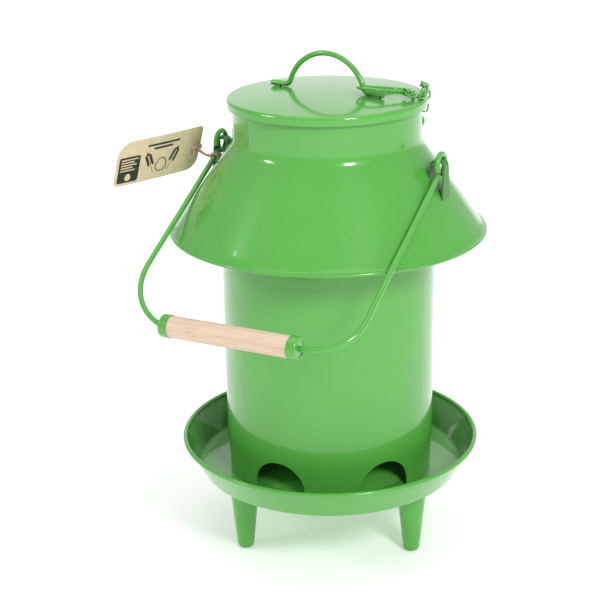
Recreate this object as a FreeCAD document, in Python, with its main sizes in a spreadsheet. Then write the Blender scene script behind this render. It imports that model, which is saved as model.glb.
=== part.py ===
"""Gravity poultry feeder in painted sheet steel, as an assembly of separate pieces.

Frame: millimetres, +Z up, origin on the hopper's axis at floor level. The bail's hinge axis runs along X,
and the bail rests forward, towards -Y.
"""
import FreeCAD
import Part
import math
import os

import Sketcher
from FreeCAD import Placement, Rotation, Vector

# Driving dimensions: name, value in millimetres (degrees for a name that ends in turn, tilt or droop).
SIZES = [
    ("sheet", 0.8),
    ("wire_width", 4.0),
    # tray and feed cone
    ("tray_floor_height", 61.0),
    ("tray_floor_radius", 101.2),
    ("tray_rim_radius", 115.2),
    ("tray_rim_height", 85.4),
    ("tray_bead_radius", 1.8),
    ("cone_foot_radius", 71.0),
    ("cone_flange_radius", 78.5),
    ("cone_rise", 45.0),
    # legs
    ("leg_top_radius", 12.2),
    ("leg_tip_radius", 6.7),
    ("leg_pad_radius", 2.7),
    ("leg_wall", 1.0),
    ("leg_flange_radius", 14.7),
    ("leg_circle_radius", 74.6),
    ("leg_turn", -37.0),
    # hopper tube and its ports
    ("tube_radius", 80.0),
    ("tube_top_height", 302.1),
    ("port_half_width", 21.0),
    ("port_spring_rise", 5.6),
    ("port_count", 6.0),
    ("port_turn", -3.0),
    ("seam_width", 8.0),
    # neck and hood
    ("neck_radius", 69.4),
    ("neck_foot_height", 311.0),
    ("neck_bead_radius", 1.4),
    ("neck_bead_height", 348.8),
    ("hood_top_height", 318.4),
    ("hood_crease_height", 317.2),
    ("hood_rim_radius", 118.7),
    ("hood_rim_height", 250.2),
    ("hood_bead_radius", 1.3),
    # ears and the bail's hinge
    ("hinge_height", 308.4),
    ("ear_middle", 88.5),
    ("ear_gap", 9.0),
    ("ear_gauge", 1.5),
    ("ear_bend", 3.0),
    ("ear_rise", 3.55),
    ("ear_top_width", 8.0),
    ("ear_foot_width", 13.0),
    # bail
    ("bail_tilt", 29.3),
    ("bail_half_width", 90.0),
    ("bail_reach", 180.0),
    ("bail_corner", 31.0),
    ("bail_kink_turn", 22.0),
    ("bail_kink_bend", 8.0),
    ("eye_radius", 7.6),
    ("eye_bend", 6.0),
    ("arm_drop", 3.6),
    # grip
    ("grip_length", 103.1),
    ("grip_shift", 1.6),
    ("grip_radius", 7.7),
    ("grip_bore", 2.06),
    ("grip_bend", 1.0),
    ("cap_length", 7.0),
    ("cap_wall", 0.5),
    ("cap_lip", 1.3),
    ("cap_bend", 1.6),
    # lid
    ("lid_radius", 73.4),
    ("lid_edge_height", 351.2),
    ("lid_low_height", 344.6),
    ("lid_crown", 3.4),
    ("lid_bend", 2.5),
    ("lid_turn", -6.5),
    ("skirt_radius", 66.6),
    ("skirt_low_height", 331.0),
    ("skirt_top_height", 350.7),
    ("handle_foot_height", 355.9),
    ("handle_foot_tip", 48.0),
    ("handle_radius", 33.3),
    ("handle_top_height", 381.7),
    ("handle_bend", 5.0),
    # tether ring, chain and the eye that the chain is hooked to
    ("ring_wire", 2.4),
    ("ring_end_radius", 11.4),
    ("ring_straight", 19.5),
    ("ring_height", 357.35),
    ("ring_turn", 47.0),
    ("ring_tilt", 8.1),
    ("ring_side_tilt", 4.9),
    ("ring_slack", 5.6),
    ("link_wire", 1.4),
    ("link_end_radius", 2.2),
    ("link_straight", 2.4),
    ("link_pitch", 4.85),
    ("link_twist_turn", 12.0),
    ("neck_eye_radius", 4.2),
    ("neck_eye_wire", 2.4),
    ("neck_eye_reach", 71.0),
    ("neck_eye_height", 326.0),
    ("neck_eye_turn", 43.0),
    # hang tag and its twine
    ("tag_length", 76.0),
    ("tag_width", 39.2),
    ("tag_gauge", 0.8),
    ("tag_big_corner", 13.0),
    ("tag_small_corner", 3.5),
    ("tag_hole_radius", 2.2),
    ("tag_hole_inset", 5.5),
    ("tag_hole_rise", 1.0),
    ("tag_hole_side", -108.1),
    ("tag_hole_front", -10.5),
    ("tag_hole_height", 304.0),
    ("tag_face_turn", 67.4),
    ("tag_droop", 1.7),
    ("tag_tilt", 22.6),
    ("twine_width", 1.8),
    ("twine_wrap_reach", 14.0),
]

# The chain's run from the ring over the lid's edge: place in X and Y, and height over the lid's edge.
CHAIN_RUN = [
    (61.7, 4.8, 5.6),
    (66.2, 4.7, 4.1),
    (69.9, 7.5, 3.7),
    (71.1, 12.1, 3.6),
    (70.4, 16.9, 3.7),
    (68.3, 21.8, 4.6),
    (65.2, 27.3, 6.8),
    (61.6, 33.2, 6.6),
    (58.8, 39.6, 4.9),
    (57.3, 46.4, 3.4),
    (57.2, 51.8, 0.0),
    (56.8, 54.0, -5.4),
    (56.0, 53.6, -12.0),
    (55.2, 52.6, -21.0),
]


def make_sheet(doc):
    """Write the driving dimensions into the document's spreadsheet."""
    sheet = doc.addObject("Spreadsheet::Sheet", "dims")
    for row, (name, value) in enumerate(SIZES, start=1):
        sheet.set("A%d" % row, name)
        sheet.set("B%d" % row, str(value))
        sheet.setAlias("B%d" % row, name)
    doc.recompute()
    return sheet


DOC = FreeCAD.newDocument("poultry_feeder")
DIMS = make_sheet(DOC)


def size(expression):
    """The number that an expression of the sheet's names gives now."""
    return float(DIMS.evalExpression(expression))


def sheet_names(expression):
    """The same expression with every name pointed at the spreadsheet, for use in another object."""
    words = expression
    for name in sorted((entry[0] for entry in SIZES), key=len, reverse=True):
        words = words.replace(name, "\0%d\0" % ALIASES.index(name))
    for index, name in enumerate(ALIASES):
        words = words.replace("\0%d\0" % index, "dims." + name)
    return words


ALIASES = [entry[0] for entry in SIZES]


def new_body(label):
    """An empty body whose label is the node's name."""
    body = DOC.addObject("PartDesign::Body", label)
    body.Label = label
    return body


def origin_part(body, role):
    """One of the body's own origin planes or axes, found by its role."""
    for feature in body.Origin.OriginFeatures:
        if feature.Role == role:
            return feature
    raise ValueError(role)


def bind(target, path, expression):
    """Tie a property to the spreadsheet."""
    target.setExpression(path, sheet_names(expression))


def near_end(sketch, index, spot):
    """1 or 2: the end of a sketch's curve that lies on the spot."""
    if (sketch.getPoint(index, 1) - spot).Length < (sketch.getPoint(index, 2) - spot).Length:
        return 1
    return 2


def pin_point(sketch, index, end, corner):
    """Fix one end of a sketch's curve at a corner's two expressions."""
    for kind, expression in zip(("DistanceX", "DistanceY"), corner[:2]):
        rule = Sketcher.Constraint(kind, -1, 1, index, end, size(expression))
        bind(sketch, "Constraints[%d]" % sketch.addConstraint(rule), expression)


def shape_arc(sketch, index, corner, start, stop):
    """Fix an arc's roundness: by its radius, or by its centre's level where the arc is a half circle."""
    chord = stop - start
    if chord.Length < 1.999 * size(corner[2]):
        rule = Sketcher.Constraint("Radius", index, size(corner[2]))
        expression = corner[2]
    elif abs(chord.x) > abs(chord.y):
        rule = Sketcher.Constraint("DistanceY", -1, 1, index, 3, start.y)
        expression = corner[1]
    else:
        rule = Sketcher.Constraint("DistanceX", -1, 1, index, 3, start.x)
        expression = corner[0]
    bind(sketch, "Constraints[%d]" % sketch.addConstraint(rule), expression)


def curves(body, name, role, corners, closed=True, level=None):
    """A sketch through the corners, as lines and arcs, with every corner and radius bound to the sheet.

    A corner is (x, y), or (x, y, radius, through_x, through_y) where an arc leaves it.
    """
    sketch = body.newObject("Sketcher::SketchObject", name)
    sketch.AttachmentSupport = (origin_part(body, role), [""])
    sketch.MapMode = "FlatFace"
    if level:
        bind(sketch, "AttachmentOffset.Base.z", level)
    spots = [Vector(size(corner[0]), size(corner[1]), 0) for corner in corners]
    count = len(corners) if closed else len(corners) - 1
    for index in range(count):
        start = spots[index]
        stop = spots[(index + 1) % len(spots)]
        corner = corners[index]
        if len(corner) == 2:
            sketch.addGeometry(Part.LineSegment(start, stop))
        else:
            through = Vector(size(corner[3]), size(corner[4]), 0)
            sketch.addGeometry(Part.Arc(start, through, stop))
    for index in range(count):
        start_end = near_end(sketch, index, spots[index])
        pin_point(sketch, index, start_end, corners[index])
        if index + 1 < count:
            joined = near_end(sketch, index + 1, spots[index + 1])
            sketch.addConstraint(Sketcher.Constraint("Coincident", index, 3 - start_end, index + 1, joined))
        elif closed:
            first = near_end(sketch, 0, spots[0])
            sketch.addConstraint(Sketcher.Constraint("Coincident", index, 3 - start_end, 0, first))
        else:
            pin_point(sketch, index, 3 - start_end, corners[-1])
        if len(corners[index]) > 2:
            shape_arc(sketch, index, corners[index], spots[index], spots[(index + 1) % len(spots)])
    return sketch


def disc(body, name, role, x, y, radius):
    """A sketch of one circle, bound to the sheet."""
    sketch = body.newObject("Sketcher::SketchObject", name)
    sketch.AttachmentSupport = (origin_part(body, role), [""])
    sketch.MapMode = "FlatFace"
    sketch.addGeometry(Part.Circle(Vector(size(x), size(y), 0), Vector(0, 0, 1), size(radius)))
    pin_point(sketch, 0, 3, (x, y))
    rule = Sketcher.Constraint("Radius", 0, size(radius))
    bind(sketch, "Constraints[%d]" % sketch.addConstraint(rule), radius)
    return sketch


def turned(body, name, corners, role="XZ_Plane", kind="Revolution"):
    """Revolve an outline of (radius, height) corners about the body's Z axis."""
    sketch = curves(body, name + "_outline", role, corners)
    feature = body.newObject("PartDesign::" + kind, name)
    feature.Profile = sketch
    feature.ReferenceAxis = (sketch, ["V_Axis"])
    feature.Angle = 360
    return feature


def bead(body, name, radius, height, wire_radius):
    """A rolled edge: a ring of round section about the body's Z axis."""
    ring = body.newObject("PartDesign::AdditiveTorus", name)
    bind(ring, "Radius1", radius)
    bind(ring, "Radius2", wire_radius)
    bind(ring, "Placement.Base.z", height)
    return ring


def pipe(body, name, spine, wire):
    """A round wire along a sketch's path."""
    section = body.newObject("Sketcher::SketchObject", name + "_section")
    section.AttachmentSupport = (spine, ["Edge1"])
    section.MapMode = "NormalToEdge"
    section.MapPathParameter = 0
    section.addGeometry(Part.Circle(Vector(0, 0, 0), Vector(0, 0, 1), size(wire) / 2))
    section.addConstraint(Sketcher.Constraint("Coincident", 0, 3, -1, 1))
    rule = Sketcher.Constraint("Diameter", 0, size(wire))
    bind(section, "Constraints[%d]" % section.addConstraint(rule), wire)
    DOC.recompute()
    swept = body.newObject("PartDesign::AdditivePipe", name)
    swept.Profile = section
    swept.Spine = (spine, [])
    return swept


def pocket(body, name, sketch, length, both_ways=False, reverse=False):
    """Cut a sketch through the body and make sure that it took something away."""
    before = body.Shape.Volume
    cut = body.newObject("PartDesign::Pocket", name)
    cut.Profile = sketch
    cut.Midplane = both_ways
    cut.Reversed = reverse
    bind(cut, "Length", length)
    DOC.recompute()
    if not cut.Shape.Volume < before - 0.01:
        raise ValueError("%s cuts nothing" % name)
    return cut


# ---------------------------------------------------------------- tray, cone and legs

def make_tray():
    """Pan pressed from one sheet, with a rolled bead round its rim."""
    body = new_body("feed_tray")
    wall_top = "tray_rim_radius - tray_bead_radius"
    wall_top_height = "tray_rim_height - tray_bead_radius"
    flare = "((%s) - tray_floor_radius) / ((%s) - tray_floor_height)" % (wall_top, wall_top_height)
    gauge = "sheet * sqrt(1 + (%s)^2)" % flare
    turned(body, "tray_pan", [
        ("0", "tray_floor_height"),
        ("tray_floor_radius", "tray_floor_height"),
        (wall_top, wall_top_height),
        ("%s - %s" % (wall_top, gauge), wall_top_height),
        ("tray_floor_radius + (%s) * sheet - %s" % (flare, gauge), "tray_floor_height + sheet"),
        ("0", "tray_floor_height + sheet"),
    ])
    bead(body, "tray_bead", wall_top, wall_top_height, "tray_bead_radius")
    return body


def make_feed_cone():
    """Sheet cone on the tray's floor that turns the feed outwards, with a flat flange round its foot."""
    body = new_body("feed_cone")
    floor = "tray_floor_height + sheet"
    gauge = "sheet * sqrt(1 + (cone_foot_radius / cone_rise)^2)"
    turned(body, "cone_sheet", [
        ("cone_foot_radius - %s" % gauge, floor),
        ("cone_flange_radius", floor),
        ("cone_flange_radius", floor + " + sheet"),
        ("cone_foot_radius", floor + " + sheet"),
        ("0", floor + " + sheet + cone_rise"),
        ("0", floor + " + sheet + cone_rise - %s * cone_rise / cone_foot_radius" % gauge),
    ])
    return body


def make_leg(number):
    """Hollow conical foot with a rounded tip and a flange that is welded under the tray."""
    body = new_body("leg_%d" % number)
    top = "tray_floor_height"
    shoulder = "tray_floor_height - leg_wall"
    tip_bend = "leg_tip_radius - leg_pad_radius"
    turned(body, "leg_cup_%d" % number, [
        ("0", "0"),
        ("leg_pad_radius", "0", tip_bend,
         "leg_pad_radius + 0.7071 * (%s)" % tip_bend, "0.2929 * (%s)" % tip_bend),
        ("leg_tip_radius", tip_bend),
        ("leg_top_radius", shoulder),
        ("leg_flange_radius", shoulder),
        ("leg_flange_radius", top),
        ("leg_top_radius - leg_wall", top),
        ("leg_tip_radius - leg_wall", tip_bend),
        ("0", "leg_wall"),
    ])
    angle = math.radians(size("leg_turn") + 120 * (number - 1) - 90)
    reach = size("leg_circle_radius")
    body.Placement = Placement(Vector(reach * math.cos(angle), reach * math.sin(angle), 0), Rotation())
    return body


# ---------------------------------------------------------------- hopper

def make_tube():
    """Hopper tube with arched feed ports round its foot and a lap seam down one side."""
    body = new_body("hopper_tube")
    foot = "tray_floor_height + sheet"
    turned(body, "tube_wall", [
        ("tube_radius - sheet", foot),
        ("tube_radius", foot),
        ("tube_radius", "tube_top_height"),
        ("tube_radius - sheet", "tube_top_height"),
    ])
    seam_outline = curves(body, "seam_outline", "XZ_Plane", [
        ("-(tube_radius - sheet / 2)", foot),
        ("-(tube_radius + sheet)", foot),
        ("-(tube_radius + sheet)", "tube_top_height - 10 * sheet"),
        ("-(tube_radius - sheet / 2)", "tube_top_height - 10 * sheet"),
    ])
    seam = body.newObject("PartDesign::Revolution", "lap_seam")
    seam.Profile = seam_outline
    seam.ReferenceAxis = (seam_outline, ["V_Axis"])
    seam.Midplane = True
    bind(seam, "Angle", "seam_width / tube_radius * 57.2958")
    DOC.recompute()
    spring = foot + " + port_spring_rise"
    port = curves(body, "port_outline", "XZ_Plane", [
        ("-port_half_width", foot + " - sheet"),
        ("port_half_width", foot + " - sheet"),
        ("port_half_width", spring, "port_half_width", "0", spring + " + port_half_width"),
        ("-port_half_width", spring),
    ])
    cut = pocket(body, "port", port, "tube_radius * 1.2", reverse=True)
    pattern = body.newObject("PartDesign::PolarPattern", "ports")
    pattern.Originals = [cut]
    pattern.Axis = (origin_part(body, "Z_Axis"), [""])
    pattern.Angle = 360
    pattern.Occurrences = int(size("port_count"))
    body.Tip = pattern
    bind(body, "Placement.Rotation.Angle", "port_turn")
    return body


def make_neck():
    """Neck collar: a short tube that stands through the hood's top, with a rolled bead under the lid."""
    body = new_body("neck_collar")
    turned(body, "collar_wall", [
        ("neck_radius - sheet", "neck_foot_height"),
        ("neck_radius", "neck_foot_height"),
        ("neck_radius", "neck_bead_height"),
        ("neck_radius - sheet", "neck_bead_height"),
    ])
    middle = "neck_radius + neck_bead_radius / 2 - sheet / 4"
    bead(body, "collar_bead", middle, "neck_bead_height", "neck_bead_radius")
    return body


HOOD_FOOT = "hood_rim_radius - hood_bead_radius"
HOOD_FOOT_HEIGHT = "hood_rim_height + hood_bead_radius"
HOOD_FLARE = "((%s) - neck_radius - sheet) / (hood_crease_height - (%s))" % (HOOD_FOOT, HOOD_FOOT_HEIGHT)


def make_hood():
    """Rain hood: a sheet cone with a short collar round the neck and a rolled rim."""
    body = new_body("rain_hood")
    gauge = "sheet * sqrt(1 + (%s)^2)" % HOOD_FLARE
    turned(body, "hood_cone", [
        ("neck_radius", "hood_top_height"),
        ("neck_radius + sheet", "hood_top_height"),
        ("neck_radius + sheet", "hood_crease_height"),
        (HOOD_FOOT, HOOD_FOOT_HEIGHT),
        ("%s - %s" % (HOOD_FOOT, gauge), HOOD_FOOT_HEIGHT),
        ("neck_radius", "hood_crease_height - (%s - sheet) / (%s)" % (gauge, HOOD_FLARE)),
    ])
    bead(body, "hood_bead", HOOD_FOOT, HOOD_FOOT_HEIGHT, "hood_bead_radius")
    return body


def make_ear(label, side):
    """Strap bent into a loop, wider at its feet, with its feet cut to the hood's cone."""
    body = new_body(label)
    top = "hinge_height + ear_rise"
    outer_bend = "(ear_bend + ear_gauge)"
    near = "ear_middle - ear_gap / 2"
    far = "ear_middle + ear_gap / 2"
    low = "hood_rim_height"
    slack = "0.2929 * "
    loop = curves(body, label + "_outline", "XZ_Plane", [
        (far + " + ear_gauge", low),
        (far + " + ear_gauge", "%s - %s" % (top, outer_bend), outer_bend,
         "%s + ear_gauge - %s%s" % (far, slack, outer_bend), "%s - %s%s" % (top, slack, outer_bend)),
        (far + " - ear_bend", top),
        (near + " + ear_bend", top, outer_bend,
         "%s - ear_gauge + %s%s" % (near, slack, outer_bend), "%s - %s%s" % (top, slack, outer_bend)),
        (near + " - ear_gauge", "%s - %s" % (top, outer_bend)),
        (near + " - ear_gauge", low),
        (near, low),
        (near, "%s - %s" % (top, outer_bend), "ear_bend",
         "%s + %sear_bend" % (near, slack), "%s - ear_gauge - %sear_bend" % (top, slack)),
        (near + " + ear_bend", top + " - ear_gauge"),
        (far + " - ear_bend", top + " - ear_gauge", "ear_bend",
         "%s - %sear_bend" % (far, slack), "%s - ear_gauge - %sear_bend" % (top, slack)),
        (far, "%s - %s" % (top, outer_bend)),
        (far, low),
    ])
    strap = body.newObject("PartDesign::Pad", label + "_strap")
    strap.Profile = loop
    strap.Midplane = True
    bind(strap, "Length", "ear_foot_width")
    DOC.recompute()
    for way, name in ((1, "front"), (-1, "back")):
        taper = curves(body, "%s_%s_taper" % (label, name), "YZ_Plane", [
            ("%d * ear_top_width / 2" % way, top + " + ear_gauge"),
            ("%d * ear_top_width / 2" % way, "%s - %s" % (top, outer_bend)),
            ("%d * ear_foot_width / 2" % way, "hinge_height - 3 * eye_radius"),
            ("%d * ear_foot_width" % way, "hinge_height - 3 * eye_radius"),
            ("%d * ear_foot_width" % way, top + " + ear_gauge"),
        ])
        pocket(body, "%s_%s_cut" % (label, name), taper, "4 * ear_middle", both_ways=True)
    turned(body, label + "_trim", [
        ("0", "hood_rim_height - ear_gauge"),
        (HOOD_FOOT, "hood_rim_height - ear_gauge"),
        (HOOD_FOOT, HOOD_FOOT_HEIGHT),
        ("neck_radius + sheet", "hood_crease_height"),
        ("0", "hood_crease_height"),
    ], kind="Groove")
    body.Placement = Placement(Vector(), Rotation(Vector(0, 0, 1), 0 if side > 0 else 180))
    return body


def make_neck_eye():
    """Wire staple on the back of the neck, where the chain's free end is hooked."""
    body = new_body("neck_eye")
    staple = body.newObject("PartDesign::AdditiveTorus", "staple")
    bind(staple, "Radius1", "neck_eye_radius")
    bind(staple, "Radius2", "neck_eye_wire / 2")
    staple.Placement = Placement(Vector(), Rotation(Vector(1, 0, 0), 90))
    bind(staple, "Placement.Base.x", "neck_eye_reach")
    bind(staple, "Placement.Base.z", "neck_eye_height")
    drum = body.newObject("PartDesign::SubtractiveCylinder", "neck_side")
    bind(drum, "Radius", "neck_radius")
    bind(drum, "Height", "lid_edge_height")
    bind(body, "Placement.Rotation.Angle", "neck_eye_turn")
    return body


# ---------------------------------------------------------------- bail and grip

def bail_frame(body):
    """Stand a body in the bail's frame: X across, Y along the arms from the hinge, Z under the arms."""
    body.Placement = Placement(Vector(), Rotation(Vector(1, 0, 0), 180))
    bind(body, "Placement.Base.z", "hinge_height")
    bind(body, "Placement.Rotation.Angle", "180 + bail_tilt")


def make_bail():
    """Wire bail: an eye and an arm at each side, and a run between a round corner and a wide one."""
    body = new_body("bail_wire")
    bend_across = "sqrt((eye_radius + eye_bend)^2 - (arm_drop + eye_bend)^2)"
    share = "eye_radius / (eye_radius + eye_bend)"
    bend_middle = "arm_drop + eye_bend"
    kink_end = "(grip_length / 2 + cap_lip + 0.5 - grip_shift)"
    kink_start = "(%s + bail_kink_bend * sin(bail_kink_turn))" % kink_end
    kink_rise = "(bail_reach - bail_kink_bend * (1 - cos(bail_kink_turn)))"
    wide = "((bail_half_width - %s) / (1 - sin(bail_kink_turn)))" % kink_start
    half_turn = "((90 - bail_kink_turn) / 2)"
    left_end = "%s - %s * cos(bail_kink_turn)" % (kink_rise, wide)
    arm_ends = (("right", "bail_half_width", "bail_reach - bail_corner"),
                ("left", "-bail_half_width", left_end))
    for name, place, arm_end in arm_ends:
        path = curves(body, name + "_arm_path", "YZ_Plane", [
            (arm_end, "arm_drop"),
            (bend_across, "arm_drop", "eye_bend",
             "%s - 0.35 * eye_bend" % bend_across, "%s - 0.937 * eye_bend" % bend_middle),
            ("%s * %s" % (bend_across, share), "(%s) * %s" % (bend_middle, share), "eye_radius",
             "-eye_radius", "0"),
            ("0.966 * eye_radius", "-0.259 * eye_radius"),
        ], closed=False, level=place)
        pipe(body, name + "_arm", path, "wire_width")
    run_path = curves(body, "run_path", "XY_Plane", [
        ("bail_half_width", "bail_reach - bail_corner", "bail_corner",
         "bail_half_width - 0.2929 * bail_corner", "bail_reach - 0.2929 * bail_corner"),
        ("bail_half_width - bail_corner", "bail_reach"),
        ("-" + kink_end, "bail_reach", "bail_kink_bend",
         "-%s - bail_kink_bend * sin(bail_kink_turn / 2)" % kink_end,
         "bail_reach - bail_kink_bend * (1 - cos(bail_kink_turn / 2))"),
        ("-" + kink_start, kink_rise, wide,
         "-bail_half_width + %s * (1 - cos%s)" % (wide, half_turn),
         "%s + %s * sin%s" % (left_end, wide, half_turn)),
        ("-bail_half_width", left_end),
    ], closed=False, level="arm_drop")
    pipe(body, "run", run_path, "wire_width")
    bail_frame(body)
    return body


def grip_frame(body, flip=False):
    """Lay a body that is turned about Z along the bail's straight run."""
    tilt = math.radians(size("bail_tilt"))
    reach = size("bail_reach")
    drop = size("arm_drop")
    along = Vector(0, -math.cos(tilt), -math.sin(tilt))
    under = Vector(0, math.sin(tilt), -math.cos(tilt))
    middle = Vector(size("grip_shift"), 0, size("hinge_height")) + along * reach + under * drop
    body.Placement = Placement(middle, Rotation(Vector(0, 1, 0), -90 if flip else 90))


def make_grip():
    """Turned wooden grip with eased ends and a bore for the wire."""
    body = new_body("grip_wood")
    face = "grip_length / 2"
    eased = "grip_radius - 0.2929 * grip_bend"
    turned(body, "grip_turning", [
        ("grip_bore", "-" + face),
        ("grip_radius - grip_bend", "-" + face, "grip_bend", eased, "-%s + 0.2929 * grip_bend" % face),
        ("grip_radius", "-%s + grip_bend" % face),
        ("grip_radius", face + " - grip_bend", "grip_bend", eased, face + " - 0.2929 * grip_bend"),
        ("grip_radius - grip_bend", face),
        ("grip_bore", face),
    ])
    grip_frame(body)
    return body


def make_cap(label, flip):
    """Pressed cup over one end of the grip: a round lip, a sunk end and a hole for the wire."""
    body = new_body(label)
    face = "grip_length / 2"
    outer = "grip_radius + cap_wall"
    lip = "grip_length / 2 + cap_lip"
    turned(body, label + "_cup", [
        ("grip_radius", lip + " - cap_length"),
        (outer, lip + " - cap_length"),
        (outer, lip + " - cap_bend", "cap_bend",
         outer + " - 0.2929 * cap_bend", lip + " - 0.2929 * cap_bend"),
        (outer + " - cap_bend", lip),
        (outer + " - cap_bend - cap_wall", face + " + cap_wall"),
        ("grip_bore", face + " + cap_wall"),
        ("grip_bore", face),
        ("grip_radius - grip_bend", face, "grip_bend",
         "grip_radius - 0.2929 * grip_bend", face + " - 0.2929 * grip_bend"),
        ("grip_radius", face + " - grip_bend"),
    ])
    grip_frame(body, flip)
    return body


# ---------------------------------------------------------------- lid

DOME_RADIUS = "((lid_radius - lid_bend)^2 + lid_crown^2) / (2 * lid_crown)"


def dome_height(radius):
    """Height of the lid's upper face at a radius, as an expression."""
    return "lid_edge_height + lid_crown - (%s) + sqrt((%s)^2 - (%s)^2)" % (DOME_RADIUS, DOME_RADIUS, radius)


def make_lid():
    """Lid pressed from one sheet: a shallow dome with a turned-down edge."""
    body = new_body("lid_plate")
    edge = "lid_radius - lid_bend"
    half_edge = "(lid_radius - lid_bend) / 2"
    turned(body, "lid_sheet", [
        ("0", "lid_edge_height + lid_crown", DOME_RADIUS, half_edge, dome_height(half_edge)),
        (edge, "lid_edge_height", "lid_bend",
         "lid_radius - 0.2929 * lid_bend", "lid_edge_height - 0.2929 * lid_bend"),
        ("lid_radius", "lid_edge_height - lid_bend"),
        ("lid_radius", "lid_low_height"),
        ("lid_radius - sheet", "lid_low_height"),
        ("lid_radius - sheet", "lid_edge_height - lid_bend", "lid_bend - sheet",
         "lid_radius - sheet - 0.2929 * (lid_bend - sheet)",
         "lid_edge_height - sheet - 0.2929 * (lid_bend - sheet)"),
        (edge, "lid_edge_height - sheet", DOME_RADIUS, half_edge, dome_height(half_edge) + " - sheet"),
        ("0", "lid_edge_height + lid_crown - sheet"),
    ])
    return body


def make_skirt():
    """Ring under the lid that centres it in the neck."""
    body = new_body("lid_skirt")
    turned(body, "skirt_wall", [
        ("skirt_radius - sheet", "skirt_low_height"),
        ("skirt_radius", "skirt_low_height"),
        ("skirt_radius", "skirt_top_height"),
        ("skirt_radius - sheet", "skirt_top_height"),
    ])
    return body


def make_handle():
    """Lid handle: one wire bent to an arch, with a straight foot at each side that is welded to the lid."""
    body = new_body("lid_handle")
    foot = "handle_foot_height"
    arch_middle = "handle_top_height - handle_radius"
    bend_height = "handle_foot_height + handle_bend - (%s)" % arch_middle
    bend_across = "sqrt((handle_radius + handle_bend)^2 - (%s)^2)" % bend_height
    share = "handle_radius / (handle_radius + handle_bend)"
    leg_across = "(%s) * %s" % (bend_across, share)
    leg_height = "%s + (%s) * %s" % (arch_middle, bend_height, share)
    bend_x = "(%s - 0.86 * handle_bend)" % bend_across
    bend_z = foot + " + 0.49 * handle_bend"
    path = curves(body, "handle_path", "XZ_Plane", [
        ("handle_foot_tip", foot),
        (bend_across, foot, "handle_bend", bend_x, bend_z),
        (leg_across, leg_height, "handle_radius", "0", "handle_top_height"),
        ("-" + leg_across, leg_height, "handle_bend", "-" + bend_x, bend_z),
        ("-" + bend_across, foot),
        ("-handle_foot_tip", foot),
    ], closed=False)
    pipe(body, "handle_wire", path, "wire_width")
    bind(body, "Placement.Rotation.Angle", "lid_turn")
    return body


# ---------------------------------------------------------------- tether ring and chain

def oval(body, name, half_straight, end_radius, wire):
    """A closed oval of round wire about the body's origin, long along X."""
    path = curves(body, name + "_path", "XY_Plane", [
        ("-" + half_straight, "-" + end_radius),
        (half_straight, "-" + end_radius, end_radius, "%s + %s" % (half_straight, end_radius), "0"),
        (half_straight, end_radius),
        ("-" + half_straight, end_radius, end_radius, "-%s - %s" % (half_straight, end_radius), "0"),
    ])
    return pipe(body, name, path, wire)


def ring_direction():
    """Unit vector from the handle's leg towards the tether ring's far end."""
    angle = math.radians(size("ring_turn"))
    return Vector(math.cos(angle), math.sin(angle), 0)


def handle_leg():
    """Where the handle's right leg meets the lid."""
    angle = math.radians(size("lid_turn"))
    reach = size("handle_radius")
    return Vector(reach * math.cos(angle), reach * math.sin(angle), 0)


def make_ring():
    """Oval wire ring round the handle's right leg, lying over the handle's foot."""
    body = new_body("tether_ring")
    oval(body, "ring_oval", "ring_straight / 2", "ring_end_radius", "ring_wire")
    reach = size("ring_end_radius - ring_slack + ring_straight / 2")
    middle = handle_leg() + ring_direction() * reach
    middle.z = size("ring_height")
    turn = Rotation(Vector(0, 0, 1), size("ring_turn"))
    tilt = Rotation(Vector(0, 1, 0), size("ring_tilt"))
    side_tilt = Rotation(Vector(1, 0, 0), -size("ring_side_tilt"))
    body.Placement = Placement(middle, turn.multiply(tilt).multiply(side_tilt))
    return body


def chain_joints(ring):
    """Points where each chain link takes hold of the next, one pitch apart along the chain's run."""
    hook = ring.Placement.multVec(Vector(size("ring_straight") / 2, -size("ring_end_radius"), 0))
    route = [Vector(x, y, size("lid_edge_height") + rise) for x, y, rise in CHAIN_RUN]
    inward = (hook - route[0]).normalize()
    hold = size("(ring_wire + link_wire) / 2 - link_end_radius - link_straight / 2 + link_pitch / 2 + 0.2")
    curve = Part.BSplineCurve()
    curve.interpolate([hook + inward * hold] + route)
    count = int(curve.length() / size("link_pitch"))
    steps = [index * size("link_pitch") for index in range(count + 1)]
    return [curve.value(curve.parameterAtDistance(step, curve.FirstParameter)) for step in steps]


def make_link(number, start, stop, side):
    """One oval chain link between two joints, turned a quarter turn from the links beside it."""
    label = "chain_link_%02d" % number
    body = new_body(label)
    oval(body, label + "_oval", "link_straight / 2", "link_end_radius", "link_wire")
    along = (stop - start).normalize()
    level = (side - along * side.dot(along)).normalize()
    lie = Rotation(along, level, along.cross(level), "XYZ")
    twist = min(45, (number - 1) * size("link_twist_turn"))
    roll = Rotation(Vector(1, 0, 0), 90 * (number % 2) + twist)
    body.Placement = Placement((start + stop) / 2, lie.multiply(roll))
    return body, level


def make_chain(ring):
    """Every link of the chain, in order from the ring, without a jump in twist from one to the next."""
    joints = chain_joints(ring)
    side = (joints[1] - joints[0]).cross(Vector(0, 0, 1))
    links = []
    for number in range(1, len(joints)):
        link, side = make_link(number, joints[number - 1], joints[number], side)
        links.append(link)
    return links


# ---------------------------------------------------------------- hang tag

def tag_axes():
    """The card's own axes: along it from the hole's end, up its face, and out of its face."""
    turn = math.radians(size("tag_face_turn"))
    droop = math.radians(size("tag_droop"))
    tilt = math.radians(size("tag_tilt"))
    level = Vector(-math.cos(turn), -math.sin(turn), 0)
    along = level * math.cos(droop) - Vector(0, 0, math.sin(droop))
    outward = Vector(math.sin(turn), -math.cos(turn), 0)
    face = outward * math.cos(tilt) - along.cross(outward) * math.sin(tilt)
    return along, along.cross(face), face


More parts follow.
